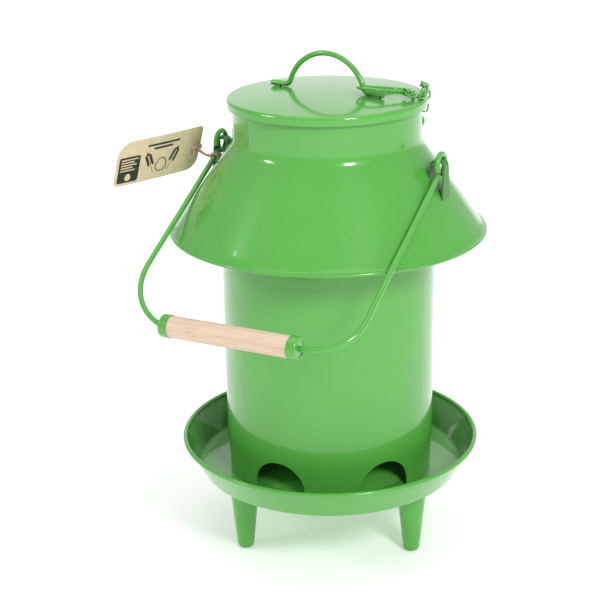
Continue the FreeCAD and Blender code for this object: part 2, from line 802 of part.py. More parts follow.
def tag_hole():
    """The middle of the card's hole."""
    return Vector(size("tag_hole_side"), size("tag_hole_front"), size("tag_hole_height"))


def make_tag():
    """Card tag with two well rounded corners, two small ones and a hole for the twine."""
    body = new_body("hang_tag")
    across = "tag_width / 2"
    big = "tag_big_corner"
    small = "tag_small_corner"
    card = curves(body, "card_outline", "XY_Plane", [
        (big + " * 0.8", "-" + across),
        ("tag_length - " + small, "-" + across, small,
         "tag_length - 0.2929 * " + small, "-%s + 0.2929 * %s" % (across, small)),
        ("tag_length", "-%s + %s" % (across, small)),
        ("tag_length", "%s - %s" % (across, big), big,
         "tag_length - 0.2929 * " + big, "%s - 0.2929 * %s" % (across, big)),
        ("tag_length - " + big, across),
        (small, across, small, "0.2929 * " + small, "%s - 0.2929 * %s" % (across, small)),
        ("0", "%s - %s" % (across, small)),
        ("0", "-%s + %s * 0.8" % (across, big), big + " * 0.8",
         "0.2929 * 0.8 * " + big, "-%s + 0.2929 * 0.8 * %s" % (across, big)),
    ])
    pad = body.newObject("PartDesign::Pad", "card")
    pad.Profile = card
    pad.Midplane = True
    bind(pad, "Length", "tag_gauge")
    DOC.recompute()
    hole = disc(body, "hole_outline", "XY_Plane", "tag_hole_inset", "tag_hole_rise", "tag_hole_radius")
    pocket(body, "hole", hole, "4 * tag_gauge", both_ways=True)
    along, up, face = tag_axes()
    turn = Rotation(along, up, face * -1, "XYZ")
    base = tag_hole() - along * size("tag_hole_inset") - up * size("tag_hole_rise")
    body.Placement = Placement(base, turn)
    return body


def wrap_middle():
    """The middle of the twine's wrap on the bail's left arm, just under the eye, and the arm's direction."""
    tilt = math.radians(size("bail_tilt"))
    along = Vector(0, -math.cos(tilt), -math.sin(tilt))
    under = Vector(0, math.sin(tilt), -math.cos(tilt))
    start = Vector(-size("bail_half_width"), 0, size("hinge_height"))
    return start + along * size("twine_wrap_reach") + under * size("arm_drop"), along


def make_wrap():
    """One turn of twine, tied round the bail's left arm."""
    body = new_body("twine_wrap")
    loop = body.newObject("PartDesign::AdditiveTorus", "turn_of_twine")
    bind(loop, "Radius1", "wire_width / 2 + twine_width / 2 + 0.1")
    bind(loop, "Radius2", "twine_width / 2")
    wrap, arm = wrap_middle()
    body.Placement = Placement(wrap, Rotation(Vector(0, 0, 1), arm))
    return body


def make_twine():
    """Twine from its wrap on the arm to a knot, and on as a loop through the card's hole."""
    wire = size("twine_width")
    wrap, _ = wrap_middle()
    along, up, _ = tag_axes()
    loop_radius = (size("tag_hole_inset") + wire / 2 + 0.4) / 2
    loop_middle = tag_hole() - along * loop_radius
    card_ring = Part.makeTorus(loop_radius, wire / 2, loop_middle, up)
    knot_place = loop_middle - along * (loop_radius + wire * 0.8)
    knot = Part.makeSphere(wire * 1.2, knot_place)
    wrap_side = wrap - Vector(size("wire_width") / 2 + 1.5 * wire + 0.2, 0, 0)
    to_wrap = wrap_side - knot_place
    strand = Part.makeCylinder(wire / 2, to_wrap.Length, knot_place, to_wrap)
    body = DOC.addObject("Part::Feature", "tag_twine")
    body.Label = "tag_twine"
    body.Shape = knot.fuse([card_ring, strand]).removeSplitter()
    body.Placement = Placement()
    return body


# ---------------------------------------------------------------- document

def build():
    """Make every sub-part."""
    parts = [make_tray(), make_feed_cone()]
    parts += [make_leg(number) for number in (1, 2, 3)]
    parts += [make_tube(), make_neck(), make_hood()]
    parts += [make_ear("ear_right", 1), make_ear("ear_left", -1), make_neck_eye()]
    parts += [make_bail(), make_grip(), make_cap("grip_cap_right", False), make_cap("grip_cap_left", True)]
    ring = make_ring()
    parts += [make_lid(), make_skirt(), make_handle(), ring]
    parts += make_chain(ring)
    parts += [make_tag(), make_twine(), make_wrap()]
    DOC.recompute()
    return parts


def one_solid(shape):
    """True for a shape that is a single valid closed solid."""
    return not shape.isNull() and shape.isValid() and len(shape.Solids) == 1


def check(parts):
    """Stop if any object failed, or any sub-part isn't one valid closed solid."""
    for item in DOC.Objects:
        if "Invalid" in item.State or "Error" in item.State:
            raise ValueError("%s failed: %s" % (item.Name, item.State))
    bad = [item.Label for item in parts if not one_solid(item.Shape)]
    if bad:
        raise ValueError("not one valid solid: " + ", ".join(bad))


def write(parts):
    """Write one STEP file for each sub-part."""
    os.makedirs("parts", exist_ok=True)
    for item in parts:
        item.Shape.exportStep("parts/%s.step" % item.Label)


PARTS = build()
check(PARTS)
write(PARTS)
for piece in PARTS:
    print("%-16s volume %10.1f mm3" % (piece.Label, piece.Shape.Volume))
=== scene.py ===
"""Looks of the gravity poultry feeder: paint, wood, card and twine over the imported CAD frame."""
import math
import bmesh
import bpy
from mathutils import Matrix, Vector


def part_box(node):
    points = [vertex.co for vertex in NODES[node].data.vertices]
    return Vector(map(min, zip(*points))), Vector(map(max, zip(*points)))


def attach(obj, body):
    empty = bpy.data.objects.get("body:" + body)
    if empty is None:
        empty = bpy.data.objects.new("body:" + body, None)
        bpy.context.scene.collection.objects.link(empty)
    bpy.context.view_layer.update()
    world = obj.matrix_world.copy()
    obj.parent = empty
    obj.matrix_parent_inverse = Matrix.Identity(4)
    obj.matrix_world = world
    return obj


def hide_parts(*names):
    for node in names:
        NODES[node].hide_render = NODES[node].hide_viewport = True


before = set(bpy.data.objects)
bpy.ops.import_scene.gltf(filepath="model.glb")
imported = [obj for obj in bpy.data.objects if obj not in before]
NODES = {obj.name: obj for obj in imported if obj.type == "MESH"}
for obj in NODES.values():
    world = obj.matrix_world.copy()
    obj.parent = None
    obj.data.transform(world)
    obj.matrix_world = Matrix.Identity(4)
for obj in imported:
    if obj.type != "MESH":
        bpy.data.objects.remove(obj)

scene = bpy.context.scene
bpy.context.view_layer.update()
MM = 0.001


# ---------------------------------------------------------------- camera, floor and lights

def add_camera():
    """Camera 1.1 m out and 0.59 m up, 26 degrees round from the front, looking down at the hopper."""
    azimuth = math.radians(26.0)
    yaw, pitch, roll = -0.020, 0.3456, -0.016
    reach, height = 1.0933, 0.5862
    forward = Vector((math.sin(yaw) * math.cos(pitch), math.cos(yaw) * math.cos(pitch), -math.sin(pitch)))
    side = Vector((math.cos(yaw), -math.sin(yaw), 0.0))
    up = side.cross(forward)
    level = side * math.cos(roll) + up * math.sin(roll)
    top = up * math.cos(roll) - side * math.sin(roll)
    turn = Matrix((level, top, -forward)).transposed().to_4x4()
    place = Matrix.Translation((0.0, -reach, height)) @ turn
    data = bpy.data.cameras.new("camera")
    data.lens = 91.25
    data.sensor_width = 36.0
    data.clip_end = 100.0
    camera = bpy.data.objects.new("camera", data)
    camera.matrix_world = Matrix.Rotation(azimuth, 4, "Z") @ place
    scene.collection.objects.link(camera)
    scene.camera = camera


def add_light(name, place, aim, size, power):
    """A soft box that faces a point on the feeder."""
    data = bpy.data.lights.new(name, "AREA")
    data.shape = "RECTANGLE"
    data.size, data.size_y = size
    data.energy = power
    lamp = bpy.data.objects.new(name, data)
    lamp.location = place
    lamp.rotation_euler = (Vector(aim) - Vector(place)).to_track_quat("-Z", "Y").to_euler()
    scene.collection.objects.link(lamp)


def add_floor():
    """Wide pale floor with a faint glow that grows away from the feeder, so that it reads as white."""
    mesh = bpy.data.meshes.new("floor")
    half = 14.0
    corners = [(-half, -half, 0), (half, -half, 0), (half, half, 0), (-half, half, 0)]
    mesh.from_pydata(corners, [], [(0, 1, 2, 3)])
    floor = bpy.data.objects.new("floor", mesh)
    scene.collection.objects.link(floor)
    mat = bpy.data.materials.new("floor_pale")
    mat.use_nodes = True
    shader = mat.node_tree.nodes["Principled BSDF"]
    shader.inputs["Base Color"].default_value = (0.9, 0.9, 0.9, 1)
    shader.inputs["Roughness"].default_value = 0.9
    shader.inputs["Specular IOR Level"].default_value = 0.1
    shader.inputs["Emission Color"].default_value = (1, 1, 1, 1)
    nodes, links = mat.node_tree.nodes, mat.node_tree.links
    place = nodes.new("ShaderNodeTexCoord").outputs["Object"]
    away = nodes.new("ShaderNodeVectorMath")
    away.operation = "LENGTH"
    links.new(place, away.inputs[0])
    glow = nodes.new("ShaderNodeMapRange")
    links.new(away.outputs["Value"], glow.inputs["Value"])
    near_reach, far_reach = 0.3, 2.0
    near_glow, far_glow = 0.29, 0.57
    glow.inputs["From Min"].default_value = near_reach
    glow.inputs["From Max"].default_value = far_reach
    glow.inputs["To Min"].default_value = near_glow
    glow.inputs["To Max"].default_value = far_glow
    links.new(glow.outputs["Result"], shader.inputs["Emission Strength"])
    mesh.materials.append(mat)


def add_studio():
    """White surroundings, and soft boxes to the front right, front left, behind and overhead."""
    world = bpy.data.worlds.new("studio")
    world.use_nodes = True
    world.node_tree.nodes["Background"].inputs["Color"].default_value = (1, 1, 1, 1)
    world.node_tree.nodes["Background"].inputs["Strength"].default_value = 0.55
    scene.world = world
    add_light("key", (1.27, -0.92, 1.30), (0.0, 0.0, 0.22), (0.34, 0.42), 19.0)
    add_light("side", (-1.20, -1.00, 1.15), (0.0, 0.0, 0.25), (0.26, 0.34), 4.5)
    add_light("back", (-0.80, 1.55, 0.98), (0.0, 0.0, 0.35), (2.4, 1.3), 4.2)
    add_light("top", (0.0, 0.2, 2.3), (0.0, 0.0, 0.0), (2.2, 2.2), 16.0)
    scene.view_settings.view_transform = "Standard"
    scene.view_settings.look = "None"


# ---------------------------------------------------------------- material helpers

class Shade:
    """A new material and short ways to add and join its nodes."""

    def __init__(self, name):
        self.mat = bpy.data.materials.new(name)
        self.mat.use_nodes = True
        self.tree = self.mat.node_tree
        self.shader = self.tree.nodes["Principled BSDF"]
        self.coords = self.tree.nodes.new("ShaderNodeTexCoord").outputs["Object"]

    def node(self, kind, **settings):
        """A new shader node with its settings."""
        made = self.tree.nodes.new("ShaderNode" + kind)
        for key, value in settings.items():
            setattr(made, key, value)
        return made

    def put(self, target, value):
        """Set an input to a number or a colour, or link it to another node's output."""
        if isinstance(value, bpy.types.NodeSocket):
            self.tree.links.new(value, target)
        elif isinstance(value, tuple) and len(value) == 3 and target.type == "RGBA":
            target.default_value = value + (1.0,)
        else:
            target.default_value = value

    def set(self, name, value):
        """Set one of the surface shader's inputs."""
        self.put(self.shader.inputs[name], value)

    def scaled(self, scale, turn=(0, 0, 0)):
        """Object coordinates, scaled and turned, which stretches a pattern along an axis."""
        made = self.node("Mapping")
        self.put(made.inputs["Vector"], self.coords)
        made.inputs["Rotation"].default_value = turn
        made.inputs["Scale"].default_value = scale
        return made.outputs["Vector"]

    def noise(self, vector, scale, detail=3.0, rough=0.5, stretch=0.0):
        """Noise from 0 to 1; a scale of 100 makes lumps about a centimetre across."""
        made = self.node("TexNoise")
        self.put(made.inputs["Vector"], vector)
        made.inputs["Scale"].default_value = scale
        made.inputs["Detail"].default_value = detail
        made.inputs["Roughness"].default_value = rough
        made.inputs["Distortion"].default_value = stretch
        return made.outputs["Fac"]

    def ramp(self, value, stops):
        """A value remapped through stops of (position, grey level or colour)."""
        made = self.node("ValToRGB")
        self.put(made.inputs["Fac"], value)
        ramp = made.color_ramp
        while len(ramp.elements) < len(stops):
            ramp.elements.new(0.5)
        for element, (place, colour) in zip(ramp.elements, stops):
            element.position = place
            element.color = colour + (1.0,) if isinstance(colour, tuple) else (colour,) * 3 + (1.0,)
        return made.outputs["Color"]

    def mix(self, share, a, b):
        """Colour a where the share is 0, and b where it is 1."""
        made = self.node("Mix", data_type="RGBA")
        self.put(made.inputs["Factor"], share)
        self.put(made.inputs["A"], a)
        self.put(made.inputs["B"], b)
        return made.outputs["Result"]

    def bump(self, height, depth, strength=1.0, below=None):
        """Bump of a real depth in metres."""
        made = self.node("Bump")
        made.inputs["Strength"].default_value = strength
        made.inputs["Distance"].default_value = depth
        self.put(made.inputs["Height"], height)
        if below is not None:
            self.put(made.inputs["Normal"], below)
        return made.outputs["Normal"]


# ---------------------------------------------------------------- materials

def paint(name, reach=0.01, coat=0.8, green=(0.090, 0.388, 0.055), deep=(0.078, 0.352, 0.046), gloss=0.26):
    """Green powder coat on sheet steel: fine orange peel, slow waves in the sheet, and painted shade that
    darkens its corners.

    The painted shade reaches that far out of a corner, in metres; gloss is the roughness under the clear
    coat.
    """
    s = Shade(name)
    cloud = s.noise(s.coords, 9.0, 3.0)
    base = s.mix(s.ramp(cloud, [(0.35, 0.0), (0.7, 1.0)]), green, deep)
    # Painted shade: ambient occlusion darkens the colour towards a deep green in corners and under overhangs.
    painted_corner_shade = s.node("AmbientOcclusion")
    painted_corner_shade.inputs["Distance"].default_value = reach
    shaded = s.mix(s.ramp(painted_corner_shade.outputs["AO"], [(0.1, 1.0), (0.62, 0.0)]), base, (0.02, 0.13, 0.016))
    speck = s.ramp(s.noise(s.coords, 330.0, 2.0, 0.7), [(0.72, 0.0), (0.78, 0.35)])
    s.set("Base Color", s.mix(speck, shaded, (0.12, 0.33, 0.08)))
    grain = s.noise(s.coords, 900.0, 2.0)
    s.set("Roughness", s.ramp(grain, [(0.3, gloss - 0.04), (0.7, gloss + 0.05)]))
    s.set("Coat Weight", coat)
    s.set("Coat Roughness", 0.07)
    s.set("Specular IOR Level", 0.25)
    slow = s.bump(s.noise(s.coords, 14.0, 1.0), 0.004, 0.2)
    peel = s.bump(s.noise(s.coords, 520.0, 2.0), 0.0001, 0.5, slow)
    s.set("Normal", peel)
    s.put(s.shader.inputs["Coat Normal"], slow)
    return s.mat


def wood(name):
    """Pale turned wood with its grain along X and fine open pores."""
    s = Shade(name)
    fibre = s.noise(s.scaled((14.0, 520.0, 520.0)), 2.2, 5.0, 0.65)
    rings = s.noise(s.scaled((5.0, 60.0, 60.0)), 1.4, 2.0, 0.5, 0.6)
    pore = s.noise(s.scaled((40.0, 900.0, 900.0)), 1.6, 2.0, 0.6)
    light = s.mix(s.ramp(rings, [(0.35, 0.0), (0.65, 1.0)]), (0.71, 0.555, 0.43), (0.65, 0.48, 0.36))
    grained = s.mix(s.ramp(fibre, [(0.45, 0.0), (0.75, 0.75)]), light, (0.55, 0.36, 0.23))
    s.set("Base Color", s.mix(s.ramp(pore, [(0.58, 0.0), (0.72, 0.6)]), grained, (0.42, 0.26, 0.16)))
    s.set("Roughness", s.ramp(fibre, [(0.3, 0.45), (0.8, 0.65)]))
    s.set("Normal", s.bump(fibre, 0.00022, 0.5, s.bump(pore, 0.0001, 0.5)))
    return s.mat


def card(name):
    """Kraft card: pressed fibres, dark flecks and a faint mottle."""
    s = Shade(name)
    mottle = s.noise(s.coords, 160.0, 4.0, 0.6)
    fibre = s.noise(s.scaled((1.0, 1.0, 4.0), turn=(0.3, 0.5, 0.9)), 900.0, 3.0, 0.7, 1.5)
    fleck = s.noise(s.scaled((1.0, 3.0, 1.0), turn=(0.8, 0.2, 0.4)), 640.0, 1.0, 0.5, 2.0)
    base = s.mix(s.ramp(mottle, [(0.35, 0.0), (0.65, 1.0)]), (0.84, 0.65, 0.47), (0.74, 0.55, 0.38))
    base = s.mix(s.ramp(fibre, [(0.4, 0.0), (0.7, 0.6)]), base, (0.80, 0.65, 0.47))
    s.set("Base Color", s.mix(s.ramp(fleck, [(0.66, 0.0), (0.72, 0.7)]), base, (0.33, 0.21, 0.12)))
    s.set("Roughness", s.ramp(fibre, [(0.3, 0.78), (0.7, 0.92)]))
    s.set("Specular IOR Level", 0.25)
    s.set("Normal", s.bump(fibre, 0.00008, 0.7, s.bump(mottle, 0.0002, 0.4)))
    return s.mat


def ink(name, dark):
    """Printing ink, thinner where the card's fibres show through."""
    s = Shade(name)
    worn = s.noise(s.coords, 1100.0, 3.0, 0.7)
    s.set("Base Color", s.mix(s.ramp(worn, [(0.55, 0.0), (0.8, 0.55)]), dark, (0.42, 0.31, 0.20)))
    s.set("Roughness", s.ramp(worn, [(0.3, 0.55), (0.7, 0.8)]))
    s.set("Normal", s.bump(worn, 0.00004, 0.5))
    return s.mat


def twine(name, light, deep):
    """Natural fibre twine with loose hairs along its strands."""
    s = Shade(name)
    fibre = s.noise(s.scaled((1.0, 1.0, 3.0), turn=(0.6, 0.4, 0.0)), 1700.0, 4.0, 0.7, 0.8)
    patch = s.noise(s.coords, 240.0, 2.0)
    base = s.mix(s.ramp(patch, [(0.35, 0.0), (0.65, 1.0)]), light, deep)
    s.set("Base Color", s.mix(s.ramp(fibre, [(0.4, 0.0), (0.7, 0.7)]), base, (0.30, 0.19, 0.12)))
    s.set("Roughness", s.ramp(fibre, [(0.3, 0.8), (0.7, 0.95)]))
    s.set("Sheen Weight", 0.4)
    s.set("Normal", s.bump(fibre, 0.0002, 0.8))
    return s.mat


# ---------------------------------------------------------------- mesh helpers

def add_mesh(name, verts, faces, mat, body):
    """Object from millimetre points and faces, with a material, riding on a body."""
    mesh = bpy.data.meshes.new(name)
    mesh.from_pydata([Vector(v) * MM for v in verts], [], faces)
    mesh.validate()
    made = bmesh.new()
    made.from_mesh(mesh)
    bmesh.ops.remove_doubles(made, verts=made.verts, dist=1e-7)
    bmesh.ops.recalc_face_normals(made, faces=made.faces)
    made.to_mesh(mesh)
    made.free()
    for face in mesh.polygons:
        face.use_smooth = True
    mesh.materials.append(mat)
    piece = bpy.data.objects.new(name, mesh)
    scene.collection.objects.link(piece)
    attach(piece, body)
    return piece


def ring_part(middle, radius, start, end, steps):
    """Points round part of a circle, angles in degrees."""
    angles = [math.radians(start + (end - start) * k / steps) for k in range(steps + 1)]
    return [(middle[0] + radius * math.cos(a), middle[1] + radius * math.sin(a)) for a in angles]


def lathe(name, profile, mat, body):
    """Closed ring swept from a profile of (radius, height) points round Z."""
    verts, faces = [], []
    steps = 240
    count = len(profile)
    for step in range(steps):
        turn = 2 * math.pi * step / steps
        verts += [(r * math.cos(turn), r * math.sin(turn), z) for r, z in profile]
    for step in range(steps):
        near, far = step * count, (step + 1) % steps * count
        for k in range(count):
            n = (k + 1) % count
            faces.append((near + k, near + n, far + n, far + k))
    return add_mesh(name, verts, faces, mat, body)


def along_path(path, closed):
    """Each point of a path with two directions square to the path, which turn as little as they can."""
    count = len(path)
    across = None
    for k, spot in enumerate(path):
        after = path[(k + 1) % count] if closed else path[min(k + 1, count - 1)]
        before = path[k - 1] if closed else path[max(k - 1, 0)]
        along = (after - before).normalized()
        if across is None:
            across = along.orthogonal().normalized()
        across = (across - along * across.dot(along)).normalized()
        yield k, spot, across, along.cross(across)


def tube(verts, faces, path, radius, sides, closed=False):
    """Add a round tube along a path; its radius is a number, or a function of 0 to 1 along the path."""
    count = len(path)
    first = len(verts)
    for k, spot, across, over in along_path(path, closed):
        width = radius(k / (count - 1)) if callable(radius) else radius
        for side in range(sides):
            turn = 2 * math.pi * side / sides
            verts.append(spot + (across * math.cos(turn) + over * math.sin(turn)) * width)
    for k in range(count if closed else count - 1):
        near, far = first + k * sides, first + (k + 1) % count * sides
        for side in range(sides):
            n = (side + 1) % sides
            faces.append((near + side, near + n, far + n, far + side))
    if not closed:
        faces.append(tuple(range(first + sides - 1, first - 1, -1)))
        faces.append(tuple(range(first + (count - 1) * sides, first + count * sides)))


def smooth_path(points, per_run):
    """Points along a soft curve through the given ones."""
    ends = [points[0] * 2 - points[1]] + list(points) + [points[-1] * 2 - points[-2]]
    path = []
    for a, b, c, d in zip(ends, ends[1:], ends[2:], ends[3:]):
        for k in range(per_run):
            t = k / per_run
            path.append((b * 2 + (c - a) * t + (a * 2 - b * 5 + c * 4 - d) * t * t
                         + (b * 3 - a - c * 3 + d) * t * t * t) / 2)
    return path + [points[-1]]


def twisted(verts, faces, path, width, turns, closed=False):
    """Two strands laid round each other along a path."""
    lay_radius, strand_radius = width * 0.24, width * 0.29
    runs = len(path) if closed else len(path) - 1
    strands = ([], [])
    for k, spot, across, over in along_path(path, closed):
        turn = 2 * math.pi * turns * k / runs
        for strand, way in zip(strands, (0.0, math.pi)):
            strand.append(spot + (across * math.cos(turn + way) + over * math.sin(turn + way)) * lay_radius)
    for strand in strands:
        tube(verts, faces, strand, strand_radius, 8, closed)


# ---------------------------------------------------------------- hood and tray

def make_hood():
    """Rain hood that rolls out of the neck in one soft bend and ends in a rolled rim.

    Its profile runs from the brim under the lid down the neck, round the bend, down the slope, round the
    rim's bead and back up its inner side.
    """
    bead, bend, gauge = 1.3, 13.0, 0.8
    low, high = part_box("rain_hood")
    rim_middle = (high[0] / MM - bead, low[2] / MM + bead)
    wall, skin = 69.45, 0.1
    crease = 317.2
    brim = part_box("neck_collar")[1][2] / MM - 3.2
    root = Vector((wall + 0.75, crease))
    fall = (Vector(rim_middle) - root).normalized()
    lean = math.degrees(math.atan2(fall[0], -fall[1]))
    top = crease + 1.1 + bend * math.tan(math.radians(lean / 2))
    edge = brim - 0.6
    profile = [(wall, brim), (wall + 0.8 * skin, brim - 0.1), (wall + skin, edge)]
    profile += [(wall + skin + skin * k / 8, edge + (top - edge) * k / 8) for k in range(1, 9)]
    profile += ring_part((wall + 2 * skin + bend, top), bend, 180, 180 + lean, 14)[1:]
    slope_start = Vector(profile[-1])
    slope_end = Vector(rim_middle) - fall * 2.3
    profile += [tuple(slope_start.lerp(slope_end, k / 12)) for k in range(1, 13)]
    profile += ring_part(rim_middle, bead, 142 - lean, -142 - lean, 26)
    inner = Vector((-fall[1], fall[0])) * -gauge
    inner_foot = Vector(rim_middle) - fall * 2.6 + inner
    inner_top = root + inner + fall * 1.6
    profile += [tuple(inner_foot.lerp(inner_top, k / 12)) for k in range(13)]
    neck_foot = crease + 0.4
    profile += [(wall, neck_foot + (brim - neck_foot) * k / 8) for k in range(8)]
    piece = lathe("hood_shell", profile, PAINT, "feeder")
    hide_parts("rain_hood")


def make_crease():
    """The tray's pressed crease: a low rounded ridge where its floor meets its wall."""
    radius, height, size = 100.9, 62.0, 0.65
    profile = ring_part((radius, height), size, 0, 330, 11)
    piece = lathe("tray_crease", profile, TRAY_PAINT_DEEP_SHADE, "feeder")


# ---------------------------------------------------------------- hang tag

# The card in millimetres: the middle of its hole, its pose, its outline, and the hole's place on it.
TAG_HOLE = Vector((-108.1, -10.5, 304.0))
TAG_TURN, TAG_DROOP, TAG_TILT = math.radians(67.4), math.radians(1.7), math.radians(22.6)
TAG_LENGTH, TAG_HALF, TAG_BIG, TAG_SMALL = 76.0, 19.6, 13.0, 3.5
HOLE_INSET, HOLE_RISE, HOLE_RADIUS = 5.5, 1.0, 2.2
TAG_FACE, PRINT_TOP, OVERPRINT_TOP = 0.4, 0.45, 0.5
PRINT_FOOT, OVERPRINT_FOOT = 0.38, 0.44


def tag_frame():
    """The card's axes: along from the hole's end, up, and out of its printed face."""
    level = Vector((-math.cos(TAG_TURN), -math.sin(TAG_TURN), 0))
    along = level * math.cos(TAG_DROOP) - Vector((0, 0, math.sin(TAG_DROOP)))
    outward = Vector((math.sin(TAG_TURN), -math.cos(TAG_TURN), 0))
    face = outward * math.cos(TAG_TILT) - along.cross(outward) * math.sin(TAG_TILT)
    return along, along.cross(face), face


def on_card(x, y, out):
    """A point on the card, which curls a little towards its far end; out is over its middle plane."""
    along, up, face = tag_frame()
    share = x / TAG_LENGTH
    curl = 1.1 * share ** 2 - 0.5 * math.sin(math.pi * share) + 0.012 * y * share
    base = TAG_HOLE - along * HOLE_INSET - up * HOLE_RISE
    return base + along * x + up * y + face * (out - curl)


def round_corner(middle, radius, start, steps=10):
    """A quarter turn, clockwise from the start angle."""
    return ring_part(middle, radius, start, start - 90, steps)


def flat_piece(name, outlines, low, high, mat, ease=0.0):
    """A thin flat shape on the card, from closed outlines in the card's plane, between two levels.

    It is sliced across its length so that it can follow the card's curl.
    """
    curve = bpy.data.curves.new(name, "CURVE")
    curve.dimensions = "2D"
    curve.fill_mode = "BOTH"
    curve.extrude = (high - low) / 2 - ease
    curve.bevel_depth = ease
    curve.bevel_resolution = 1
    curve.offset = -ease
    for outline in outlines:
        spline = curve.splines.new("POLY")
        spline.points.add(len(outline) - 1)
        for point, (x, y) in zip(spline.points, outline):
            point.co = (x, y, 0, 1)
        spline.use_cyclic_u = True
    holder = bpy.data.objects.new(name + "_outline", curve)
    mesh = bpy.data.meshes.new_from_object(holder)
    bpy.data.objects.remove(holder)
    made = bmesh.new()
    made.from_mesh(mesh)
    bmesh.ops.remove_doubles(made, verts=made.verts, dist=1e-4)
    slice_width = 2.0
    right = max(v.co.x for v in made.verts)
    place = math.ceil(min(v.co.x for v in made.verts) / slice_width) * slice_width
    while place < right:
        whole = list(made.verts) + list(made.edges) + list(made.faces)
        bmesh.ops.bisect_plane(made, geom=whole, plane_co=(place, 0, 0), plane_no=(1, 0, 0))
        place += slice_width
    for vert in made.verts:
        vert.co = on_card(vert.co.x, vert.co.y, vert.co.z + (low + high) / 2) * MM
    bmesh.ops.recalc_face_normals(made, faces=made.faces)
    made.to_mesh(mesh)
    made.free()
    mesh.materials.clear()
    mesh.materials.append(mat)
    piece = bpy.data.objects.new(name, mesh)
    scene.collection.objects.link(piece)
    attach(piece, "tag")
    return piece


def rounded_box(left, right, low, high, bend):
    """Outline of a rectangle with rounded corners."""
    return (round_corner((left + bend, high - bend), bend, 180)
            + round_corner((right - bend, high - bend), bend, 90)
            + round_corner((right - bend, low + bend), bend, 0)
            + round_corner((left + bend, low + bend), bend, -90))


def egg(middle, width, height, lean=0.0, steps=28):
    """Egg outline, narrower at its top."""
    points = []
    for k in range(steps):
        turn = 2 * math.pi * k / steps
        x = width / 2 * math.cos(turn) * (1 - 0.16 * math.sin(turn))
        y = height / 2 * math.sin(turn)
        points.append((middle[0] + x * math.cos(lean) - y * math.sin(lean),
                       middle[1] + x * math.sin(lean) + y * math.cos(lean)))
    return points


def stalk(foot, tip, grains, size):
    """Outlines of an ear of grain: a thin stem with pairs of pointed grains."""
    foot, tip = Vector(foot), Vector(tip)
    line = (tip - foot).normalized()
    side = Vector((-line[1], line[0]))
    foot_half, tip_half = side * 0.22, side * 0.12
    stem = (foot + foot_half, tip + tip_half, tip - tip_half, foot - foot_half)
    outlines = [[tuple(point) for point in stem]]
    upright = math.atan2(line[1], line[0]) - math.pi / 2
    for k in range(grains):
        spot = foot.lerp(tip, 0.42 + 0.58 * k / grains)
        for way in (1, -1):
            middle = spot + side * way * size * 0.55 + line * size * 0.5
            outlines.append(egg(middle, size * 0.5, size * 1.15, upright - way * 0.5, 14))
    outlines.append(egg(tip + line * size * 0.5, size * 0.5, size * 1.2, upright, 14))
    return outlines


def make_tag():
    """Kraft card with a hole, and plain print: a dark panel, two lines, and an egg between ears of grain."""
    length, half, big, small = TAG_LENGTH, TAG_HALF, TAG_BIG, TAG_SMALL
    near_big = big * 0.8
    outline = round_corner((small, half - small), small, 180)
    outline += round_corner((length - big, half - big), big, 90, 16)
    outline += round_corner((length - small, -half + small), small, 0)
    outline += round_corner((near_big, -half + near_big), near_big, -90, 14)
    hole = [(HOLE_INSET + HOLE_RADIUS * math.cos(a), HOLE_RISE + HOLE_RADIUS * math.sin(a))
            for a in [2 * math.pi * k / 32 for k in range(32)]]
    tag_card = flat_piece("tag_card", [outline, hole], -TAG_FACE, TAG_FACE, CARD, 0.1)
    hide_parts("hang_tag")
    make_panel(length - 20.5, length - 2.2, -half + 2.6)
    middle = length * 0.47
    ring = [egg((middle, -6.8), 10.4, 12.6), egg((middle, -6.8), 8.8, 11.0)]
    flat_piece("tag_egg", ring, PRINT_FOOT, PRINT_TOP, INK)
    for name, way in (("left", 1), ("right", -1)):
        foot = (middle + way * 6.4, -13.0)
        tip = (middle + way * 13.0, 3.4)
        for k, shape in enumerate(stalk(foot, tip, 6, 3.2)):
            flat_piece("tag_grain_%s_%02d" % (name, k), [shape], PRINT_FOOT, PRINT_TOP + 0.002 * (k % 3), INK)
    for k, reach in enumerate((14.5, 8.5)):
        low = 11.4 - 3.4 * k
        line = rounded_box(middle - reach, middle + reach, low, low + 1.8, 0.6)
        flat_piece("tag_line_%d" % (k + 1), [line], PRINT_FOOT, PRINT_TOP, INK)


def make_panel(left, right, low):
    """Dark panel at the card's far end, with pale bars of uneven length over a pale egg."""
    flat_piece("tag_panel", [rounded_box(left, right, low, low + 23.0, 1.8)], PRINT_FOOT, PRINT_TOP, INK)
    margin = 1.8
    for k, indent in enumerate((0.0, 3.2, 1.0, 4.4, 2.0)):
        foot = low + 20.0 - 2.4 * k
        bar = rounded_box(left + margin + indent, right - margin, foot, foot + 1.1, 0.3)
        flat_piece("tag_bar_%d" % (k + 1), [bar], OVERPRINT_FOOT, OVERPRINT_TOP, CARD)
    small_egg = egg(((left + right) / 2, low + 4.6), 5.0, 6.2)
    flat_piece("tag_panel_egg", [small_egg], OVERPRINT_FOOT, OVERPRINT_TOP, CARD)


# ---------------------------------------------------------------- twine

BAIL_TILT = math.radians(29.3)


def make_twine():
    """Twine: turns round the bail's arm, and a tie from them to a knot and a loop through the card's hole."""
    low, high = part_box("twine_wrap")
    wrap = (Vector(low) + Vector(high)) / 2 / MM
    make_turns(wrap)
    make_tie(wrap + Vector((-4.3, 0, 0)))


def make_turns(wrap):
    """Two and a half turns of twine round the arm."""
    arm = Vector((0, -math.cos(BAIL_TILT), -math.sin(BAIL_TILT)))
    side = Vector((1, 0, 0))
    over = arm.cross(side)
    count, steps, radius, length = 2.5, 90, 2.95, 3.6
    path = []
    for k in range(steps + 1):
        turn = 2 * math.pi * count * k / steps + math.pi
        reach = (k / steps - 0.5) * length
        path.append(wrap + arm * reach + (side * math.cos(turn) + over * math.sin(turn)) * radius)
    verts, faces = [], []
    twisted(verts, faces, path, 1.7, 9)
    piece = add_mesh("twine_turns", verts, faces, TWINE, "bail")
    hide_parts("twine_wrap")


